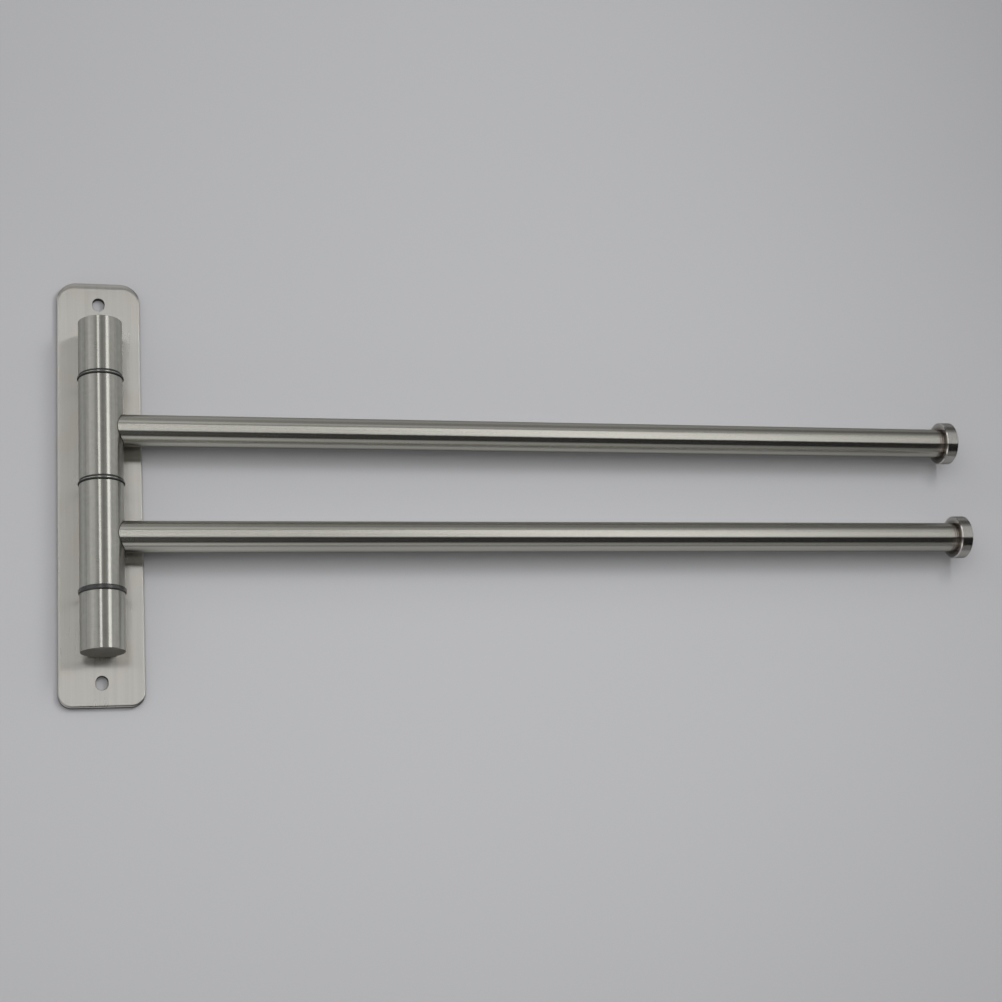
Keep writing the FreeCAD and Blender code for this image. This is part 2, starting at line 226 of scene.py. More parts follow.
class RackFinish(bpy.types.PropertyGroup):
    """Colours and gloss of the finishes"""

    steel: opaque("Steel", "Stainless steel", 0.51, 0.504, 0.461)
    bar: opaque("Bar steel", "Brighter steel of the bars", 0.55, 0.541, 0.488)
    plate: opaque("Plate steel", "Brushed sheet of the plate", 0.57, 0.558, 0.524)
    plate_warm: opaque("Warm plate steel", "Where the plate is tinged warm", 0.58, 0.548, 0.506)
    faced: opaque("Faced steel", "Dull ends of posts and sleeves", 0.53, 0.518, 0.486)
    cap: opaque("Cap steel", "Turned steel of the end caps", 0.46, 0.448, 0.42)
    chamfer: opaque("Chamfer steel", "Bright chamfers of the end caps", 0.60, 0.57, 0.545)
    edge_tint: opaque("Edge tint", "Reflection at a glancing angle", 0.45, 0.45, 0.43)
    column_tint: opaque("Column edge tint", "The same on posts and sleeves", 0.75, 0.75, 0.72)
    straw: opaque("Straw tint", "Outer heat colour beside a weld", 0.465, 0.405, 0.362)
    plum: opaque("Plum tint", "Inner heat colour beside a weld", 0.105, 0.073, 0.065)
    # Scorched steel: heat colour beside the weld, made darker as painted shade where the cap meets the bar
    scorched_and_shaded: opaque("Scorched steel", "Face of a cap beside the weld", 0.09, 0.08, 0.072)
    # Sheared steel: raw cut steel, painted darker as shade on the plate's cut edge and in its slots
    sheared_and_shaded: opaque("Sheared steel", "Raw cut edges of plate and slots", 0.16, 0.156, 0.145)
    # Seam: steel painted dark as shade in the crease between a bar and its sleeve
    seam: opaque("Seam", "Darkened steel between a bar and its sleeve", 0.11, 0.104, 0.092)
    black: opaque("Black nylon", "Thin washers", 0.032, 0.032, 0.032)
    rubber: opaque("Black rubber", "Thick friction washer", 0.024, 0.0235, 0.0225)
    bush: opaque("White nylon", "Bushes inside the sleeves", 0.78, 0.77, 0.73)
    plate_roughness: fraction("Plate roughness", "Roughness of the brushed plate", 0.29)
    column_roughness: fraction("Column roughness", "Roughness of posts and sleeves", 0.29)
    bar_roughness: fraction("Bar roughness", "Roughness of the bars", 0.25)
    cap_roughness: fraction("Cap roughness", "Roughness of the end caps", 0.22)
    face_roughness: fraction("Cap face roughness", "Roughness of their flat faces", 0.12)
    edge_roughness: fraction("Edge roughness", "Roughness of tumbled edges and faced ends", 0.36)
    raw_roughness: fraction("Raw roughness", "Roughness of cut edges and seams", 0.5)
    grain_pull: fraction("Grain pull", "How far a grain draws reflections out", 1.0)


class RackStage(bpy.types.PropertyGroup):
    """Wall, light and camera"""

    wall_size: metres("Wall size", "Side of the wall", 8.0)
    wall_gap: metres("Wall gap", "Wall behind the plate's rear face", 0.0003)
    wall: opaque("Wall", "Paint of the wall", 0.543, 0.545, 0.56)
    # The next two settings darken the wall's paint as painted shade, to the right and above the rack
    wall_painted_fade: fraction("Wall fade", "How much deeper the paint is far to the right", 0.05)
    wall_painted_rise: fraction("Wall rise", "How much deeper the paint is above the rack", 0.17)
    backdrop: opaque("Backdrop", "What shows beyond the wall", 0.44, 0.445, 0.455)
    strip_distance: metres("Strip distance", "Strip lights in front of the wall", 0.68)
    strip_lean: degrees("Strip lean", "Lean of the strip lights to the left", 6)
    strip_bottom: degrees("Strip bottom", "Height of both bottoms, as an angle", -15.5)
    narrow_azimuth: degrees("Narrow strip", "Bearing of the narrow strip", -11.5)
    narrow_spread: degrees("Narrow strip width", "Angle it covers", 10)
    narrow_top: degrees("Narrow strip top", "Height of its top, as an angle", 33)
    narrow_glow: radiance("Narrow strip glow", "Radiance of the narrow strip", 1.65)
    wide_azimuth: degrees("Wide strip", "Bearing of the wide strip", 33.5)
    wide_spread: degrees("Wide strip width", "Angle it covers", 15)
    wide_top: degrees("Wide strip top", "Height of its top, as an angle", 37)
    wide_glow: radiance("Wide strip glow", "Radiance of the wide strip", 1.75)
    fill_place: spot("Fill", "Where the soft front fill light stands", 0.08, -0.9, 0.10)
    fill_size: metres("Fill size", "Side of the front fill light", 0.6)
    fill_glow: radiance("Fill glow", "Radiance of the front fill light", 2.2)
    side_place: spot("Side fill", "Where the fill light on the right stands", 0.55, -0.70, 0.30)
    side_aim: spot("Side fill aim", "Point that this light faces", -2.0, 0.0, 0.0)
    side_size: metres("Side fill size", "Side of that light", 0.25)
    side_glow: radiance("Side fill glow", "Radiance of that light", 10.0)
    camera_place: spot("Camera", "Where the camera stands", -0.04384, -0.87178, -0.27824)
    camera_aim: spot("Aim", "Point in the middle of the picture", 0.21019, 0.0, -0.0047)
    camera_roll: degrees("Roll", "Lean of the camera to its right", 4.456)
    camera_lens: FloatProperty(
        name="Lens", description="Focal length on a 36 mm sensor, in millimetres", default=63.47, min=1,
        unit="CAMERA")


# Shader wiring

class Wire:
    """An output in a node tree; arithmetic on it adds Math nodes."""

    def __init__(self, tree, socket):
        self.tree = tree
        self.socket = socket

    def __add__(self, other):
        return self.tree.math("ADD", self, other)

    def __radd__(self, other):
        return self.tree.math("ADD", other, self)

    def __sub__(self, other):
        return self.tree.math("SUBTRACT", self, other)

    def __rsub__(self, other):
        return self.tree.math("SUBTRACT", other, self)

    def __mul__(self, other):
        return self.tree.math("MULTIPLY", self, other)

    def __rmul__(self, other):
        return self.tree.math("MULTIPLY", other, self)


class Tree:
    """The node tree of a material or the world while it is being wired."""

    def __init__(self, owner):
        owner.use_nodes = True
        self.owner = owner
        self.nodes = owner.node_tree.nodes
        self.links = owner.node_tree.links
        self.nodes.clear()

    def node(self, kind, settings=None, inputs=None, output=0):
        """Adds a node: its settings first, then its sockets' values or links; returns one output."""
        made = self.nodes.new(kind)
        for key, value in (settings or {}).items():
            if key == "stops":
                self.fill_ramp(made.color_ramp, value)
            else:
                setattr(made, key, value)
        for key, value in (inputs or {}).items():
            socket = self.find(made.inputs, key)
            if isinstance(value, Wire):
                self.links.new(value.socket, socket)
            else:
                socket.default_value = value
        if made.outputs:
            return Wire(self, self.find(made.outputs, output))
        return None

    @staticmethod
    def find(sockets, key):
        """A socket by number, or the first one in use by name."""
        if isinstance(key, int):
            return sockets[key]
        return next(socket for socket in sockets if socket.enabled and socket.name == key)

    @staticmethod
    def fill_ramp(ramp, stops):
        """Sets a ramp's stops, each a position and a grey level."""
        while len(ramp.elements) < len(stops):
            ramp.elements.new(1.0)
        for element, (position, level) in zip(ramp.elements, stops):
            element.position = position
            element.color = (level, level, level, 1)

    def math(self, operation, first, second):
        """Two values worked on by a Math node."""
        return self.node("ShaderNodeMath", {"operation": operation}, {0: first, 1: second})

    def part(self, vector, axis):
        """One part of a vector."""
        return self.node("ShaderNodeSeparateXYZ", None, {"Vector": vector}, axis)

    def local_point(self):
        """The point in the piece's own frame, in metres."""
        return self.node("ShaderNodeTexCoord", None, None, "Object")

    def stretched(self, point, scale):
        """A point with each direction scaled by itself."""
        return self.node("ShaderNodeVectorMath", {"operation": "MULTIPLY"}, {0: point, 1: scale})

    def noise(self, point, scale=1.0, detail=2.0):
        """Grey noise from 0 to 1 about a half."""
        return self.node("ShaderNodeTexNoise", None, {"Vector": point, "Scale": scale, "Detail": detail})

    def line_noise(self, along, detail=3.0):
        """Grey noise along one value."""
        return self.node("ShaderNodeTexNoise", {"noise_dimensions": "1D"},
                         {"W": along, "Scale": 1.0, "Detail": detail})

    def between(self, value, low, high):
        """Rises smoothly from 0 at low to 1 at high."""
        return self.node("ShaderNodeMapRange", {"interpolation_type": "SMOOTHSTEP"},
                         {"Value": value, "From Min": low, "From Max": high})

    def band(self, value, low, high, soft):
        """1 from low to high, fading over soft at each end."""
        rise = self.between(value, low - soft, low + soft)
        return rise - self.between(value, high - soft, high + soft)

    def mix(self, share, first, second):
        """A colour between two."""
        return self.node("ShaderNodeMix", {"data_type": "RGBA"},
                         {"Factor": share, "A": first, "B": second}, "Result")

    def shade(self, share, colour, dark, light):
        """A colour made darker or lighter by a share from 0 to 1."""
        grey = self.node("ShaderNodeMapRange", None, {"Value": share, "To Min": dark, "To Max": light})
        return self.node("ShaderNodeMix", {"data_type": "RGBA", "blend_type": "MULTIPLY"},
                         {"Factor": 1.0, "A": colour, "B": grey}, "Result")

    def ramp(self, value, stops):
        """A grey level that runs through stops, each a value and a level."""
        low = stops[0][0]
        high = stops[-1][0]
        share = self.node("ShaderNodeMapRange", None,
                          {"Value": value, "From Min": low, "From Max": high})
        places = [((at - low) / (high - low), level) for at, level in stops]
        return self.node("ShaderNodeValToRGB", {"stops": places}, {"Fac": share})

    def bump(self, height, strength, distance):
        """A normal that follows a height."""
        return self.node("ShaderNodeBump", None,
                         {"Strength": strength, "Distance": distance, "Height": height})

    def surface(self, **sockets):
        """The surface shader, with underscores in socket names for spaces."""
        inputs = {key.replace("_", " "): value for key, value in sockets.items()}
        return self.node("ShaderNodeBsdfPrincipled", None, inputs)

    def finish(self, shader, kind="Material"):
        """Ends the tree in a shader, and returns the material or world that it belongs to."""
        self.node(f"ShaderNodeOutput{kind}", None, {"Surface": shader})
        return self.owner


def varied(value, noise, spread):
    """A value that follows a noise up and down over a spread."""
    return value + (noise - 0.5) * spread


def new_tree(name):
    """The empty tree of a new material."""
    return Tree(bpy.data.materials.new(name))


# Finishes

def grained_steel(tree, colour, edge, tone, roughness, depth=0.14, pull=0.0, turn=UPRIGHT, normal=None):
    """Steel whose colour, to a depth, and roughness follow a tone.

    The edge is its reflection at a glancing angle. Its grain pulls reflections out, by a turn.
    """
    sockets = {
        "Base_Color": tree.shade(tone, colour, 1 - depth, 1 + depth),
        "Roughness": varied(roughness, tone, 0.06),
        "Metallic": 1.0,
        "Anisotropic": pull,
        "Anisotropic_Rotation": turn,
        "Specular_Tint": edge,
    }
    if normal is not None:
        sockets["Normal"] = normal
    return tree.finish(tree.surface(**sockets))


def plain_steel(name, colour, edge, roughness, spread, grain):
    """Steel brushed in no direction, whose roughness varies over a spread at the scale of its grain."""
    tree = new_tree(name)
    cloud = tree.noise(tree.local_point(), scale=grain)
    return grained_steel(tree, colour, edge, cloud, varied(roughness, cloud, spread))


def plate_steel(finish):
    """The plate, brushed up and down: fine upright lines and warm cloudy patches."""
    tree = new_tree("plate_steel")
    point = tree.local_point()
    fine = tree.noise(tree.stretched(point, PLATE_FINE_GRAIN), detail=3)
    broad = tree.noise(tree.stretched(point, PLATE_BROAD_GRAIN))
    cloud = tree.noise(point, scale=55, detail=1)
    colour = tree.mix(tree.between(cloud, 0.45, 0.75), finish.plate, finish.plate_warm)
    return grained_steel(
        tree, colour, finish.edge_tint,
        tone=fine * 0.4 + broad * 0.6,
        roughness=varied(finish.plate_roughness, cloud, 0.08),
        pull=finish.grain_pull,
        normal=tree.bump(fine, strength=0.04, distance=BRUSHED_RIDGE))


def polished_tone(tree, point, height, ring_share):
    """Streaks along the piece's axis with a share of fine rings by height, and those rings alone."""
    rings = tree.line_noise(height * POLISHED_RINGS)
    streaks = tree.noise(tree.stretched(point, POLISHED_STREAKS))
    return rings * ring_share + streaks * (1 - ring_share), rings


def column_steel(finish):
    """Posts, sleeves and saddles: polished round and round, which draws reflections out lengthwise."""
    tree = new_tree("column_steel")
    point = tree.local_point()
    polish, rings = polished_tone(tree, point, tree.part(point, "Z"), ring_share=0.2)
    cloud = tree.noise(point, scale=90, detail=1)
    mottle = tree.noise(point, scale=420)
    return grained_steel(
        tree, finish.steel, finish.column_tint,
        tone=polish * 0.7 + mottle * 0.3,
        roughness=varied(finish.column_roughness, cloud, 0.05),
        depth=0.45, pull=finish.grain_pull, turn=CROSSWISE,
        normal=tree.bump(rings, strength=0.03, distance=BRUSHED_RIDGE))


def bar_steel(finish):
    """Towel bars: polished as the column is, with painted shade darker towards the cap and painted light
    brighter towards the column, and two heat lines beside the cap.
    """
    tree = new_tree("bar_steel")
    point = tree.local_point()
    along = tree.part(point, "Z")
    polish, rings = polished_tone(tree, point, along, ring_share=0.08)
    cloud = tree.noise(point, scale=70)
    to_cap = varied(BAR_END - along, cloud, HEAT_WANDER)
    # Painted shade and light: the bar's steel darkens towards the cap and brightens towards the column
    clear = tree.between(to_cap, *CAP_PAINTED_SHADE) * 0.23 + tree.between(to_cap, *COLUMN_PAINTED_LIGHT) * 0.77
    straw = (1.0 - tree.between(to_cap, *STRAW_TINT)) * 0.7
    outer_line = tree.band(to_cap, *OUTER_HEAT_LINE, HEAT_LINE_SOFTNESS) * 0.6
    inner_line = tree.band(to_cap, *INNER_HEAT_LINE, HEAT_LINE_SOFTNESS) * 0.65
    painted_shade_bar = tree.shade(clear, finish.bar, dark=0.85, light=1.07)
    colour = tree.mix(outer_line + inner_line, tree.mix(straw, painted_shade_bar, finish.straw), finish.plum)
    return grained_steel(
        tree, colour, finish.edge_tint,
        tone=polish,
        roughness=varied(finish.bar_roughness, cloud, 0.02),
        depth=0.12, pull=finish.grain_pull, turn=CROSSWISE,
        normal=tree.bump(rings, strength=0.01, distance=BRUSHED_RIDGE))


def cap_steel(finish):
    """Rims of the end caps: left as turned, with fine rings."""
    tree = new_tree("cap_steel")
    point = tree.local_point()
    rings = tree.line_noise(tree.part(point, "Z") * CAP_RINGS)
    cloud = tree.noise(point, scale=160)
    return grained_steel(
        tree, finish.cap, finish.edge_tint,
        tone=rings * 0.7 + cloud * 0.3,
        roughness=varied(finish.cap_roughness, cloud, 0.06),
        depth=0.2, pull=finish.grain_pull, turn=CROSSWISE,
        normal=tree.bump(rings, strength=0.04, distance=TURNED_RIDGE))


def cap_face_steel(finish):
    """Flat faces of the end caps: turned rings, and heat colour round the weld on the inner face, deepened
    as painted shade beside the bar.
    """
    tree = new_tree("cap_face_steel")
    point = tree.local_point()
    x = tree.part(point, "X")
    y = tree.part(point, "Y")
    radius = tree.math("POWER", x * x + y * y, 0.5)
    rings = tree.line_noise(radius * CAP_RINGS)
    cloud = tree.noise(point, scale=300)
    inner_face = 1.0 - tree.between(tree.part(point, "Z") - BAR_END, *SCORCH_SHADE_DEPTH)
    scorch_shade_mask = 1.0 - tree.between(varied(radius - BAR_RADIUS, cloud, SCORCH_SHADE_WANDER), *SCORCH_SHADE_RING)
    colour = tree.mix(inner_face * scorch_shade_mask * 0.6, finish.cap, finish.scorched_and_shaded)
    return grained_steel(
        tree, colour, finish.edge_tint,
        tone=rings * 0.6 + cloud * 0.4,
        roughness=varied(finish.face_roughness, cloud, 0.04),
        depth=0.2,
        normal=tree.bump(rings, strength=0.02, distance=TURNED_RIDGE))


def turned_steel(finish):
    """Rod and steel washers: plain turned steel."""
    tree = new_tree("turned_steel")
    point = tree.local_point()
    rings = tree.line_noise(tree.part(point, "Z") * ROD_RINGS, detail=2)
    cloud = tree.noise(point, scale=120)
    return grained_steel(
        tree, finish.steel, finish.edge_tint,
        tone=rings * 0.6 + cloud * 0.4,
        roughness=varied(finish.cap_roughness, cloud, 0.1),
        pull=0.5, turn=CROSSWISE,
        normal=tree.bump(rings, strength=0.08, distance=TURNED_RIDGE))


def chamfer_steel(finish):
    """Chamfers of the end caps: worn bright."""
    return plain_steel("chamfer_steel", finish.chamfer, finish.edge_tint, finish.face_roughness,
                       spread=0.04, grain=300)


def edge_steel(finish):
    """Screw seats and rear slot edges of the plate: tumbled, a little uneven."""
    return plain_steel("edge_steel", finish.steel, finish.edge_tint, finish.edge_roughness,
                       spread=0.08, grain=400)


def faced_steel(finish):
    """Ends of posts and sleeves: faced off, with a dull even finish."""
    return plain_steel("faced_steel", finish.faced, finish.faced, finish.edge_roughness,
                       spread=0.08, grain=250)


def seam_shade_steel(finish):
    """The fine V where a bar meets its sleeve: painted dark as shade in the crease."""
    return plain_steel("seam_shade_steel", finish.seam, finish.edge_tint, finish.raw_roughness,
                       spread=0.2, grain=500)


def sheared_shaded_steel(finish):
    """Cut edge of the plate and insides of its slots: raw and streaked along the punch's stroke, and
    painted dark as shade.
    """
    tree = new_tree("sheared_shaded_steel")
    streaks = tree.noise(tree.stretched(tree.local_point(), SHEARED_STREAKS))
    roughness = varied(finish.raw_roughness, streaks, 0.2)
    return grained_steel(tree, finish.sheared_and_shaded, finish.sheared_and_shaded, streaks, roughness)


def screw_steel(finish):
    """Post screws: forged heads with a faint grain."""
    tree = new_tree("screw_steel")
    cloud = tree.noise(tree.local_point(), scale=600, detail=3)
    return grained_steel(
        tree, finish.steel, finish.edge_tint,
        tone=cloud,
        roughness=varied(finish.cap_roughness, cloud, 0.15),
        normal=tree.bump(cloud, strength=0.1, distance=FORGED_RIDGE))


def moulded(name, colour, roughness, grain, shine):
    """Moulded plastic or rubber with a fine skin."""
    tree = new_tree(name)
    point = tree.local_point()
    skin = tree.noise(point, scale=grain, detail=3)
    patch = tree.noise(point, scale=grain / 8, detail=1)
    return tree.finish(tree.surface(
        Base_Color=tree.shade(patch, colour, dark=0.8, light=1.25),
        Roughness=varied(roughness, skin, 0.2),
        Specular_IOR_Level=shine,
        Normal=tree.bump(skin, strength=0.15, distance=MOULDED_RIDGE)))


# Meshes

def softened(corners, steps):
    """An outline with its corners rounded: each corner is across, up and a radius."""
    points = []
    count = len(corners)
    for number, (across, up, radius) in enumerate(corners):
        corner = Vector((across, up))
        if radius == 0:
            points.append(corner)
            continue
        before = (Vector(corners[number - 1][:2]) - corner).normalized()
        after = (Vector(corners[(number + 1) % count][:2]) - corner).normalized()
        half = before.angle(after) / 2
        middle = corner + (before + after).normalized() * (radius / math.sin(half))
        start = corner + before * (radius / math.tan(half)) - middle
        end = corner + after * (radius / math.tan(half)) - middle
        sweep = math.pi - 2 * half
        for step in range(steps + 1):
            angle = sweep * step / steps
            spoke = start * math.sin(sweep - angle) + end * math.sin(angle)
            points.append(middle + spoke / math.sin(sweep))
    return [(point.x, point.y) for point in points]


def bridge(faces, first, second):
    """Quads or triangles between two rings of point numbers; a ring of one point is a tip."""
    count = max(len(first), len(second))
    for step in range(count):
        following = (step + 1) % count
        if len(first) == 1:
            faces.append((first[0], second[following], second[step]))
        elif len(second) == 1:
            faces.append((first[step], first[following], second[0]))
        else:
            faces.append((first[step], first[following], second[following], second[step]))


def ring_body(rings, closed, finishes):
    """Points, faces and each face's finish of a body made of rings in order.

    Closed joins the last ring to the first. The finishes are numbers, one for each band between rings.
    """
    points = []
    numbers = []
    faces = []
    chosen = []
    for ring in rings:
        numbers.append(range(len(points), len(points) + len(ring)))
        points.extend(ring)
    bands = list(zip(numbers, numbers[1:]))
    if closed:
        bands.append((numbers[-1], numbers[0]))
    for (first, second), finish in zip(bands, finishes):
        bridge(faces, first, second)
        chosen.extend([finish] * (len(faces) - len(chosen)))
    return points, faces, chosen


def circle(radius, height, steps):
    """Points round local Z, or the one point on it."""
    if radius == 0:
        return [(0, 0, height)]
    turns = [2 * math.pi * step / steps for step in range(steps)]
    return [(radius * math.cos(turn), radius * math.sin(turn), height) for turn in turns]


def turned_body(shape, corners, slope=0):
    """A body turned about local Z from an outline's corners, each a radius, a height and a rounding.

    Its flat ends have finish 1, its sloping faces the given one and the rest 0.
    """
    outline = softened(corners, shape.edge_steps)
    rings = [circle(radius, height, shape.turn_steps) for radius, height in outline]
    finishes = []
    for start, end in zip(outline, outline[1:] + outline[:1]):
        if start[1] == end[1]:
            finishes.append(1)
        else:
            finishes.append(0 if start[0] == end[0] else slope)
    return ring_body(rings, outline[0][0] > 0, finishes)


def coped_bar(shape, length):
    """A tube along local Z, notched at the near end to sit on the column along local Y.

    Its seam has finish 1 and the rest 0.
    """
    inner = BAR_RADIUS - shape.bar_wall
    seam = shape.bar_seam
    end_break = shape.bar_end_break
    steps = shape.turn_steps

    def notched(radius, clear):
        ring = circle(radius, 0, steps)
        return [(x, y, math.sqrt(COLUMN_RADIUS ** 2 - x ** 2) + clear) for x, y, _ in ring]

    rings = [
        notched(inner, 0),
        notched(BAR_RADIUS - seam, 0),
        notched(BAR_RADIUS, seam),
        circle(BAR_RADIUS, length - end_break, steps),
        circle(BAR_RADIUS - end_break, length, steps),
        circle(inner, length, steps),
    ]
    return ring_body(rings, True, (1, 1, 0, 0, 0, 0))


def add_object(name, data):
    """A new object in the scene."""
    made = bpy.data.objects.new(name, data)
    bpy.context.scene.collection.objects.link(made)
    return made


def add_piece(name, body, materials, place, rides_on, stands_for):
    """Makes a piece from points, faces and each face's finish, which picks one of the materials."""
    points, faces, finishes = body
    mesh = bpy.data.meshes.new(name)
    mesh.from_pydata(points, [], faces)
    for polygon, finish in zip(mesh.polygons, finishes):
        polygon.material_index = min(finish, len(materials) - 1)
    add_mesh(name, mesh, materials, place, rides_on, stands_for)


def add_mesh(name, mesh, materials, place, rides_on, stands_for):
    """Shades a mesh, puts it in place as a piece riding on a body, and hides the imported part that it
    stands for.
    """
    mesh.validate()
    mesh.shade_smooth()
    mesh.set_sharp_from_angle(angle=math.radians(40))
    for material in materials:
        mesh.materials.append(material)
    piece = add_object(name, mesh)
    piece.matrix_world = place
    flat = piece.modifiers.new("flat_faces", "WEIGHTED_NORMAL")
    flat.keep_sharp = True
    flat.weight = 100
    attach(piece, rides_on)
    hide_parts(stands_for)


def on_column(height):
    """The place of a turned piece on the column, by the height of its lower end."""
    return Matrix.Translation((0, COLUMN_Y, height))


# Wall plate

# Finishes of the plate's faces; the cut edge's finish is raw steel painted dark as shade
BRUSHED, TUMBLED, SHEARED_SHADED = range(3)


def plate_ring(shape, side, bottom, top, y):
    """The plate's outline drawn in at its sides, bottom and top, anticlockwise from the room."""
    left = PLATE_LOW.x + side
    right = PLATE_HIGH.x - side
    low = PLATE_LOW.z + bottom
    high = PLATE_HIGH.z - top
    low_corner = shape.plate_bottom_corner - (side + bottom) / 2
    high_corner = shape.plate_top_corner - (side + top) / 2
    corners = (
        (left, low, low_corner), (right, low, low_corner),
        (right, high, high_corner), (left, high, high_corner),
    )
    return [(x, y, z) for x, z in softened(corners, shape.corner_steps)]


def slot_ring(shape, middle, spread, y):
    """The outline of an upright wall slot, widened by a spread."""
    radius = WALL_SCREWS["hole_r_mm"] * MM
    reach = WALL_SCREWS["slot_length_mm"] * MM / 2 - radius
    wide = radius + spread
    steps = 2 * shape.corner_steps
    ring = []
    for end, turn in ((reach, 0), (-reach, math.pi)):
        for step in range(steps + 1):
            angle = turn + math.pi * step / steps
            ring.append((wide * math.cos(angle), y, middle + end + wide * math.sin(angle)))
    return ring


def hole_ring(shape, middle, radius, y):
    """A circle in the plate."""
    return [(x, y, middle + z) for x, z, _ in circle(radius, 0, 4 * shape.corner_steps)]


def plate_outside(shape):
    """Rings and finishes of the outside: the rear break, the cut edge and the rim up to the front."""
    rims = (shape.plate_side_rim, shape.plate_bottom_rim, shape.plate_top_rim)
    rear_break = shape.plate_rear_break
    steps = 2 * shape.edge_steps
    rings = [
        plate_ring(shape, rear_break, rear_break, rear_break, PLATE_REAR),
        plate_ring(shape, 0, 0, 0, PLATE_REAR - rear_break),
    ]
    for step in range(steps + 1):
        inward = step / steps
        fall = shape.plate_rim_fall * (1 - inward) ** 2
        rings.append(plate_ring(shape, *[rim * inward for rim in rims], PLATE_FRONT + fall))
    rings.append(plate_ring(shape, *[rim + shape.plate_margin for rim in rims], PLATE_FRONT))
    return rings, [SHEARED_SHADED] * 2 + [BRUSHED] * (steps + 1)


def wall_slot(shape, middle):
    """Rings and finishes of a wall slot, from the rear to the front."""
    deburr = shape.slot_deburr
    rings = [
        slot_ring(shape, middle, deburr, PLATE_REAR),
        slot_ring(shape, middle, 0, PLATE_REAR - deburr),
        slot_ring(shape, middle, 0, PLATE_FRONT + deburr),
        slot_ring(shape, middle, deburr, PLATE_FRONT),
        slot_ring(shape, middle, deburr + shape.plate_margin, PLATE_FRONT),
    ]
    return rings, (TUMBLED, SHEARED_SHADED, SHEARED_SHADED, BRUSHED)


def screw_seat(shape, middle):
    """Rings and finishes of a post screw's countersink and hole, from the rear to the front."""
    head = shape.screw_head / 2
    hole = shape.screw_hole / 2
    recess = PLATE_REAR - shape.screw_recess
    rings = [
        hole_ring(shape, middle, head, PLATE_REAR),
        hole_ring(shape, middle, head, recess),
        hole_ring(shape, middle, hole, recess - head + hole),
        hole_ring(shape, middle, hole, PLATE_FRONT),
    ]
    return rings, (TUMBLED, TUMBLED, TUMBLED)


def add_ring(mesh, ring):
    """New points of a mesh in a closed loop, with the loop's edges."""
    points = [mesh.verts.new(point) for point in ring]
    edges = [mesh.edges.new((points[number - 1], points[number])) for number in range(len(points))]
    return points, edges


def skin_rings(mesh, rings, finishes):
    """Joins rings into bands with a finish each, and returns the edges of the first and last ring."""
    made = [add_ring(mesh, ring) for ring in rings]
    for (first, _), (second, _), finish in zip(made, made[1:], finishes):
        for number in range(len(first)):
            corners = (first[number - 1], first[number], second[number], second[number - 1])
            mesh.faces.new(corners).material_index = finish
    return made[0][1], made[-1][1]


def build_plate(shape, brushed, tumbled, sheared_and_shaded):
    """The wall plate: rounded rims, a cut edge, two wall slots and two screw seats open to the rear."""
    reach = WALL_SCREWS["spacing_y_mm"] * MM / 2
    surfaces = [plate_outside(shape), wall_slot(shape, reach), wall_slot(shape, -reach)]
    for side in SIDES:
        low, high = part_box(f"{side}_post")
        surfaces.append(screw_seat(shape, (low.z + high.z) / 2))
    mesh = bmesh.new()
    rear_edges = []
    front_edges = []
    for rings, finishes in surfaces:
        first, last = skin_rings(mesh, rings, finishes)
        rear_edges.extend(first)
        front_edges.extend(last)
    for edges in (rear_edges, front_edges):
        filled = bmesh.ops.triangle_fill(mesh, use_beauty=True, edges=edges)
        for face in filled["geom"]:
            if isinstance(face, bmesh.types.BMFace):
                face.material_index = BRUSHED
    bmesh.ops.recalc_face_normals(mesh, faces=mesh.faces[:])
    data = bpy.data.meshes.new("wall_plate")
    mesh.to_mesh(data)
    mesh.free()
    add_mesh("wall_plate", data, (brushed, tumbled, sheared_and_shaded), Matrix.Identity(4),
             "bracket", "back_plate")


# Column

def build_posts(shape, polished, faced):
    """The two fixed ends of the column, bored from the inner end for the rod."""
    bore = shape.bore / 2
    edge = shape.column_edge
    for side in SIDES:
        low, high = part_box(f"{side}_post")
        length = high.z - low.z
        depth = length - shape.post_end
        corners = (
            (0, depth, 0), (bore, depth, 0), (bore, 0, 0),
            (COLUMN_RADIUS, 0, edge), (COLUMN_RADIUS, length, edge), (0, length, 0),
        )
        place = on_column(low.z)
        if side == "lower":
            place = on_column(high.z) @ Matrix.Rotation(math.pi, 4, "X")
        add_piece(f"{side}_fixed_post", turned_body(shape, corners), (polished, faced), place,
                  "bracket", f"{side}_post")


def build_sleeves(shape, polished, faced):
    """The two turning sleeves."""
    bore = COLUMN_RADIUS - shape.sleeve_wall
    edge = shape.column_edge
    for side in SIDES:
        low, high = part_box(f"{side}_sleeve")
        start = low.z + shape.sleeve_clearance
        length = high.z - shape.sleeve_clearance - start
        corners = (
            (bore, 0, 0), (COLUMN_RADIUS, 0, edge), (COLUMN_RADIUS, length, edge), (bore, length, 0),
        )
        add_piece(f"{side}_turning_sleeve", turned_body(shape, corners), (polished, faced),
                  on_column(start), f"{side}_arm", f"{side}_sleeve")


def build_washers(shape, nylon, steel, rubber):
    """Black, bright and black washers at two joints, and the thick black one at the third."""
    stack = (
        ("lower_nylon_washer", nylon, "black_nylon", shape.washer_edge),
        ("steel_washer", steel, "turned_steel", shape.washer_edge),
        ("upper_nylon_washer", nylon, "black_nylon", shape.washer_edge),
    )
    washers = [(f"{joint}_{name}", *rest) for joint in ("top", "middle") for name, *rest in stack]
    washers.append(("bottom_friction_washer", rubber, "black_rubber", shape.friction_washer_edge))
    bore = shape.bore / 2
    for node, material, slot, edge in washers:
        low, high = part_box(node)
        outer = (high.x - low.x) / 2
        thickness = high.z - low.z
        corners = ((bore, 0, 0), (outer, 0, edge), (outer, thickness, edge), (bore, thickness, 0))
        add_piece(f"{node}_ring", turned_body(shape, corners), (material,), on_column(low.z),
                  "bracket", node)


# Arms

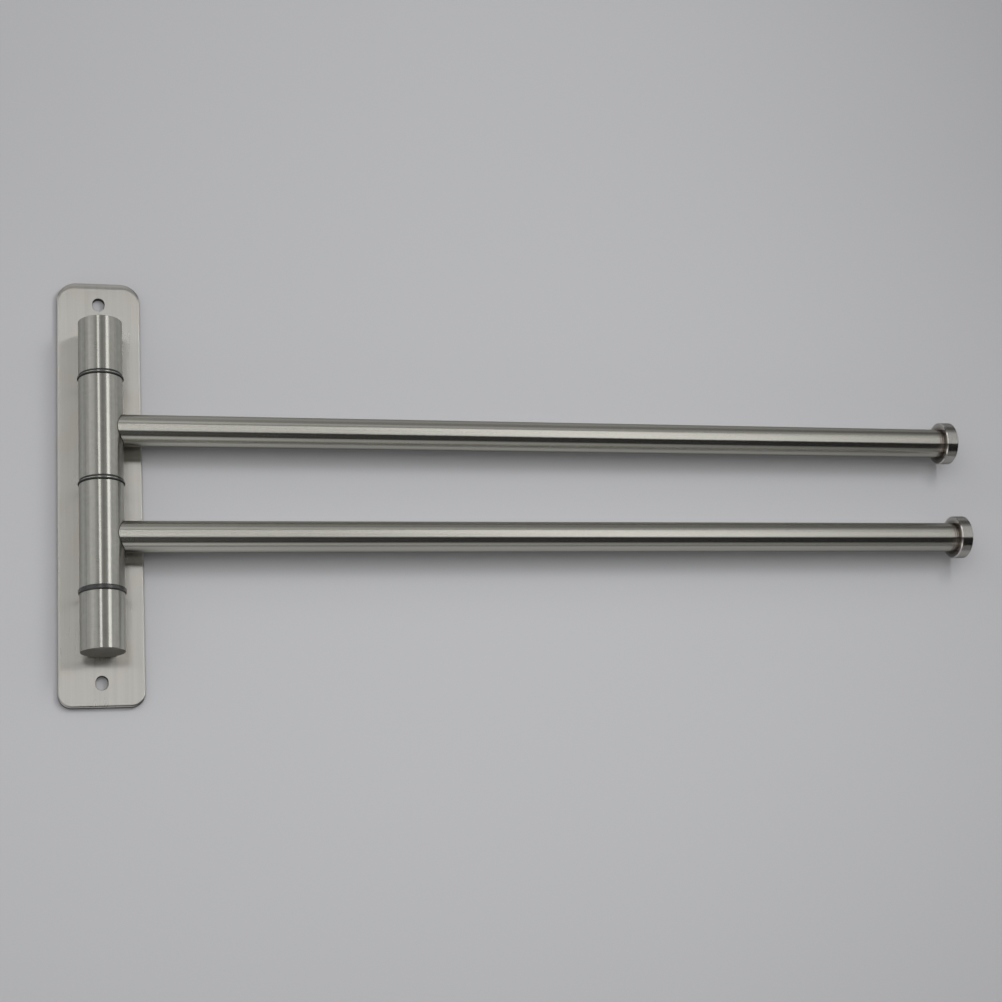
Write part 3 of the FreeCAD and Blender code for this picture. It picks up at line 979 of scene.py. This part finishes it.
def bar_place(side):
    """The place of an arm's bar: its local frame starts on the column's axis."""
    low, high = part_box(f"{side}_bar")
    return Matrix.Translation((0, COLUMN_Y, (low.z + high.z) / 2)) @ ALONG_BAR


def build_bars(shape, polished, seam):
    """The two towel bars."""
    for side in SIDES:
        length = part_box(f"{side}_bar")[1].x
        add_piece(f"{side}_towel_bar", coped_bar(shape, length), (polished, seam), bar_place(side),
                  f"{side}_arm", f"{side}_bar")


def build_caps(shape, turned, faced, chamfered):
    """The two end caps: a disc with chamfered rims and a plug inside the tube."""
    plug = BAR_RADIUS - shape.bar_wall - shape.spigot_gap
    chamfer = shape.cap_chamfer
    soft = shape.cap_softening
    for side in SIDES:
        low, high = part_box(f"{side}_end_cap")
        disc = (high.z - low.z) / 2
        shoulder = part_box(f"{side}_bar")[1].x
        corners = (
            (0, low.x, 0), (plug, low.x, 0), (plug, shoulder, 0),
            (disc - chamfer, shoulder, soft), (disc, shoulder + chamfer, soft),
            (disc, high.x - chamfer, soft), (disc - chamfer, high.x, soft), (0, high.x, 0),
        )
        add_piece(f"{side}_bar_cap", turned_body(shape, corners, slope=2), (turned, faced, chamfered),
                  bar_place(side), f"{side}_arm", f"{side}_end_cap")


def dress_fittings(finish, column, turned):
    """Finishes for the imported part's own inner pieces, which keep their shape."""
    screw = screw_steel(finish)
    bush = moulded("white_nylon", finish.bush, roughness=0.45, grain=900, shine=0.4)
    dressed = {"spindle": turned}
    for side in SIDES:
        dressed[f"{side}_post_saddle"] = column
        dressed[f"{side}_post_screw"] = screw
        dressed[f"{side}_sleeve_top_bush"] = bush
        dressed[f"{side}_sleeve_bottom_bush"] = bush
    for node, material in dressed.items():
        for place in frame["nodes"][node].material_slots:
            place.material = material


# Stage

def wall_paint(stage):
    """Matt paint, darkened to the right and upwards as painted shade, see-through from behind and from the
    plate's own rear face.
    """
    tree = new_tree("wall_paint")
    point = tree.local_point()
    # Painted shade: the paint darkens to the right and upwards, standing in for light that falls off
    painted_fade = tree.between(tree.part(point, "X"), *WALL_PAINTED_SHADE_X) * stage.wall_painted_fade
    rise = tree.between(tree.part(point, "Z"), *WALL_PAINTED_SHADE_Z) * stage.wall_painted_rise
    level = varied(1.0 - painted_fade - rise, tree.noise(point, scale=3), 0.03)
    colour = tree.shade(level, stage.wall, dark=0.0, light=1.0)
    paint = tree.surface(Base_Color=colour, Roughness=1.0, Specular_IOR_Level=0.0)
    clear = tree.node("ShaderNodeBsdfTransparent")
    behind = tree.node("ShaderNodeNewGeometry", None, None, "Backfacing")
    reach = tree.node("ShaderNodeLightPath", None, None, "Ray Length")
    close = tree.math("LESS_THAN", reach, 3 * stage.wall_gap)
    unseen = tree.math("MAXIMUM", behind, close)
    return tree.finish(tree.node("ShaderNodeMixShader", None, {0: unseen, 1: paint, 2: clear}))


def build_wall(stage):
    """A pale wall behind the plate."""
    half = stage.wall_size / 2
    plane = PLATE_REAR + stage.wall_gap
    corners = [(-half, plane, -half), (half, plane, -half), (half, plane, half), (-half, plane, half)]
    mesh = bpy.data.meshes.new("wall")
    mesh.from_pydata(corners, [], [(0, 1, 2, 3)])
    mesh.materials.append(wall_paint(stage))
    wall = add_object("wall", mesh)


def add_light(name, width, height, glow, place, turn):
    """A flat light that the camera doesn't see."""
    lamp = bpy.data.lights.new(name, "AREA")
    lamp.shape = "RECTANGLE"
    lamp.size = width
    lamp.size_y = height
    lamp.energy = glow * width * height * math.pi
    light = add_object(name, lamp)
    light.location = place
    light.rotation_euler = turn
    light.visible_camera = False
    return light


def add_strip(name, stage, azimuth, spread, top, glow):
    """An upright strip light in front of the wall that covers the given angles from the column."""
    distance = stage.strip_distance
    left = distance * math.tan(azimuth - spread / 2)
    right = distance * math.tan(azimuth + spread / 2)
    low = distance * math.tan(stage.strip_bottom)
    high = distance * math.tan(top)
    place = ((left + right) / 2, -distance, (low + high) / 2)
    upright = Vector((0, 1, 0)).to_track_quat("-Z", "Z").to_matrix()
    lean = Matrix.Rotation(-stage.strip_lean, 3, "Y")
    add_light(name, right - left, high - low, glow, place, (lean @ upright).to_euler())


def add_fill(name, place, aim, size, glow):
    """A soft light that evens the wall and isn't mirrored in the steel."""
    turn = (Vector(aim) - Vector(place)).to_track_quat("-Z", "Z").to_euler()
    add_light(name, size, size, glow, place, turn).visible_glossy = False


def build_room(stage):
    """The room that the steel mirrors: its level by bearing and height, and its floor open on the left."""
    world = bpy.data.worlds.new("room")
    bpy.context.scene.world = world
    tree = Tree(world)
    direction = tree.node("ShaderNodeTexCoord", None, None, "Generated")
    x, y, z = [tree.part(direction, axis) for axis in "XYZ"]
    ahead = y * -1.0
    height = tree.math("ARCTAN2", z, ahead) * DEGREES_PER_RADIAN
    bearing = tree.math("ARCTAN2", x, ahead) * DEGREES_PER_RADIAN
    high = tree.between(z, *ROOM_HIGH)
    low = 1.0 - tree.between(z, *ROOM_LOW)
    steep = high + low
    right = tree.between(x, *ROOM_RIGHT)
    left = 1.0 - tree.between(x, *ROOM_LEFT)
    open_floor = low * (1.0 - tree.between(x, *ROOM_FLOOR))
    lost = right * (high * LOST_HIGH_RIGHT + low * LOST_LOW_RIGHT) + left * high * LOST_HIGH_LEFT
    round_level = tree.ramp(bearing, ROOM_ROUND) * (1.0 - steep) + steep * ROOM_STEEP
    level = round_level * (tree.ramp(height, ROOM_UP) + open_floor * FLOOR_LIGHT) * (1.0 - lost)
    room = tree.node("ShaderNodeBackground", None, {"Color": (1, 1, 1, 1), "Strength": level})
    backdrop = tree.node("ShaderNodeBackground", None, {"Color": stage.backdrop, "Strength": 1.0})
    straight = tree.node("ShaderNodeLightPath", None, None, "Is Camera Ray")
    beyond = tree.math("MAXIMUM", straight, tree.between(y, *ROOM_END))
    tree.finish(tree.node("ShaderNodeMixShader", None, {0: beyond, 1: room, 2: backdrop}), "World")


def build_camera(stage):
    """The camera at the photograph's place."""
    data = bpy.data.cameras.new("camera")
    data.lens = stage.camera_lens
    camera = add_object("camera", data)
    place = Vector(stage.camera_place)
    look = (Vector(stage.camera_aim) - place).to_track_quat("-Z", "Y").to_matrix().to_4x4()
    roll = Matrix.Rotation(-stage.camera_roll, 4, "Z")
    camera.matrix_world = Matrix.Translation(place) @ look @ roll
    bpy.context.scene.camera = camera


# Operators

class RACK_OT_wall_plate(bpy.types.Operator):
    """Build the brushed wall plate with its slots and screw seats"""
    bl_idname = "rack.wall_plate"
    bl_label = "Wall plate"

    def execute(self, context):
        finish = context.scene.rack_finish
        build_plate(context.scene.rack_shape, plate_steel(finish), edge_steel(finish),
                    sheared_shaded_steel(finish))
        return {"FINISHED"}


class RACK_OT_column(bpy.types.Operator):
    """Build the posts, the sleeves and the washers between them, and dress the fittings inside"""
    bl_idname = "rack.column"
    bl_label = "Column"

    def execute(self, context):
        shape = context.scene.rack_shape
        finish = context.scene.rack_finish
        steel = column_steel(finish)
        turned = turned_steel(finish)
        faced = faced_steel(finish)
        build_posts(shape, steel, faced)
        build_sleeves(shape, steel, faced)
        nylon = moulded("black_nylon", finish.black, roughness=0.42, grain=1800, shine=0.4)
        rubber = moulded("black_rubber", finish.rubber, roughness=0.28, grain=1200, shine=0.8)
        build_washers(shape, nylon, turned, rubber)
        dress_fittings(finish, steel, turned)
        return {"FINISHED"}


class RACK_OT_bars(bpy.types.Operator):
    """Build the two towel bars and their end caps"""
    bl_idname = "rack.bars"
    bl_label = "Bars and caps"

    def execute(self, context):
        shape = context.scene.rack_shape
        finish = context.scene.rack_finish
        build_bars(shape, bar_steel(finish), seam_shade_steel(finish))
        build_caps(shape, cap_steel(finish), cap_face_steel(finish), chamfer_steel(finish))
        return {"FINISHED"}


class RACK_OT_stage(bpy.types.Operator):
    """Set up the wall, the light and the camera"""
    bl_idname = "rack.stage"
    bl_label = "Stage"

    def execute(self, context):
        stage = context.scene.rack_stage
        build_wall(stage)
        add_strip("narrow_strip", stage, stage.narrow_azimuth, stage.narrow_spread, stage.narrow_top,
                  stage.narrow_glow)
        add_strip("wide_strip", stage, stage.wide_azimuth, stage.wide_spread, stage.wide_top,
                  stage.wide_glow)
        add_fill("front_fill", stage.fill_place, (0, 0, 0), stage.fill_size, stage.fill_glow)
        add_fill("side_fill", stage.side_place, stage.side_aim, stage.side_size, stage.side_glow)
        build_room(stage)
        build_camera(stage)
        context.scene.view_settings.view_transform = "Standard"
        return {"FINISHED"}


class RACK_PT_panel(bpy.types.Panel):
    """The towel rack's pieces and settings"""
    bl_idname = "RACK_PT_panel"
    bl_label = "Towel rack"
    bl_space_type = "VIEW_3D"
    bl_region_type = "UI"
    bl_category = "Towel rack"

    def draw(self, context):
        for operator in OPERATORS:
            self.layout.operator(operator.bl_idname)
        for group in (context.scene.rack_shape, context.scene.rack_finish, context.scene.rack_stage):
            box = self.layout.box()
            for key in group.bl_rna.properties.keys():
                if key not in ("rna_type", "name"):
                    box.prop(group, key)


SETTINGS = {"rack_shape": RackShape, "rack_finish": RackFinish, "rack_stage": RackStage}
OPERATORS = (RACK_OT_wall_plate, RACK_OT_column, RACK_OT_bars, RACK_OT_stage)


def register():
    """Adds the settings, the operators and the panel."""
    for name, group in SETTINGS.items():
        bpy.utils.register_class(group)
        setattr(bpy.types.Scene, name, PointerProperty(type=group))
    for operator in OPERATORS:
        bpy.utils.register_class(operator)
    bpy.utils.register_class(RACK_PT_panel)


def unregister():
    """Takes them away again."""
    bpy.utils.unregister_class(RACK_PT_panel)
    for operator in reversed(OPERATORS):
        bpy.utils.unregister_class(operator)
    for name, group in reversed(SETTINGS.items()):
        delattr(bpy.types.Scene, name)
        bpy.utils.unregister_class(group)


def main():
    """Builds everything in order."""
    register()
    bpy.ops.rack.wall_plate()
    bpy.ops.rack.column()
    bpy.ops.rack.bars()
    bpy.ops.rack.stage()


if __name__ == "__main__":
    main()
